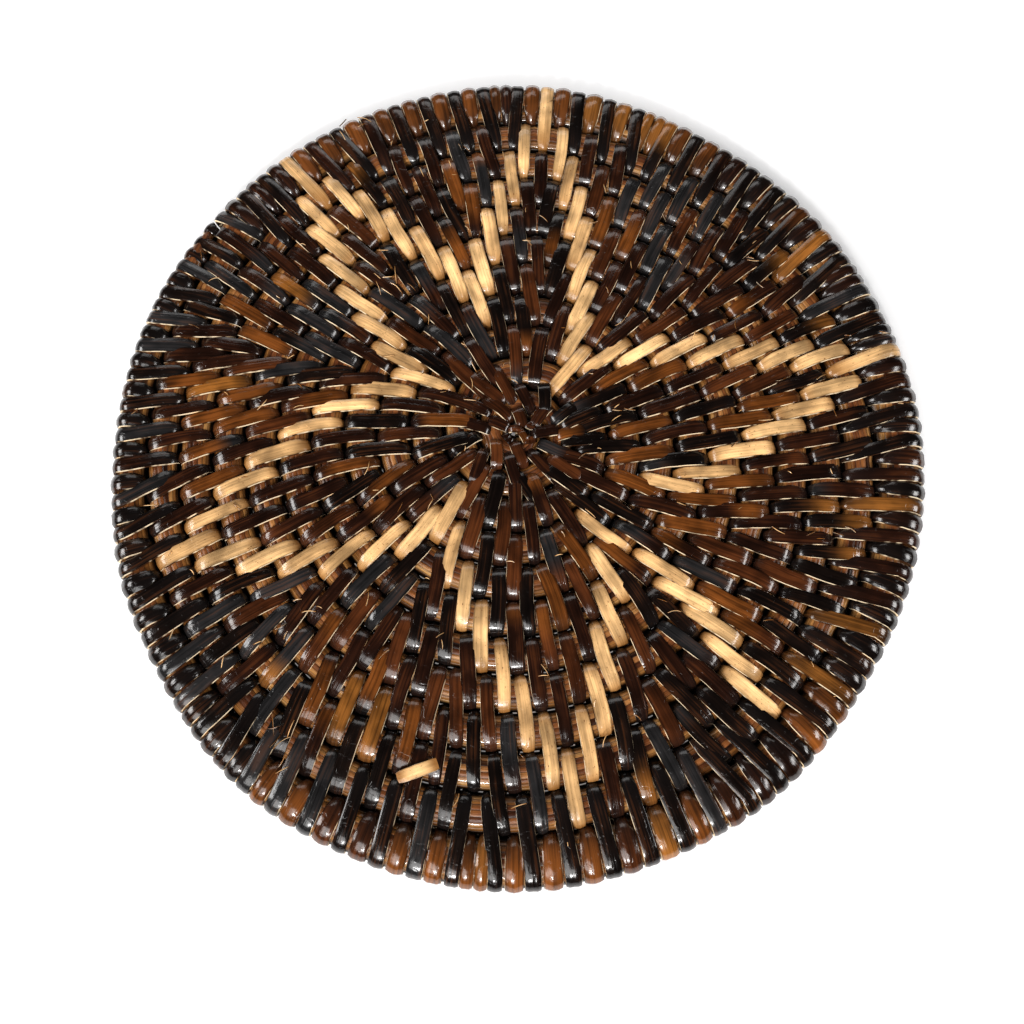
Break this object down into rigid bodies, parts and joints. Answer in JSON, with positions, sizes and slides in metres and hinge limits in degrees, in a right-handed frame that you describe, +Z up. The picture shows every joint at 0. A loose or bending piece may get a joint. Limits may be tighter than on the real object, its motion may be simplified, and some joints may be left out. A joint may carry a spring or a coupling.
{
  "type": "woven trivet",
  "caption": "Round coiled rattan trivet, a cane bundle wound in a flat spiral and sewn turn to turn with dark and natural strips in a star pattern.",
  "frame": {"origin": "under the middle of the mat's outline, on the surface it lies on", "axes": "+Z up through the thickness, +X to the viewer's right in the picture, +Y away from the viewer"},
  "size_m": [0.1982, 0.2038, 0.009],
  "materials": {
    "rattan": "lacquered split cane, dark brown and black strips with a natural tan star"
  },
  "bodies": {
    "root": {"coiled_mat": "rattan"}
  },
  "joints": []
}
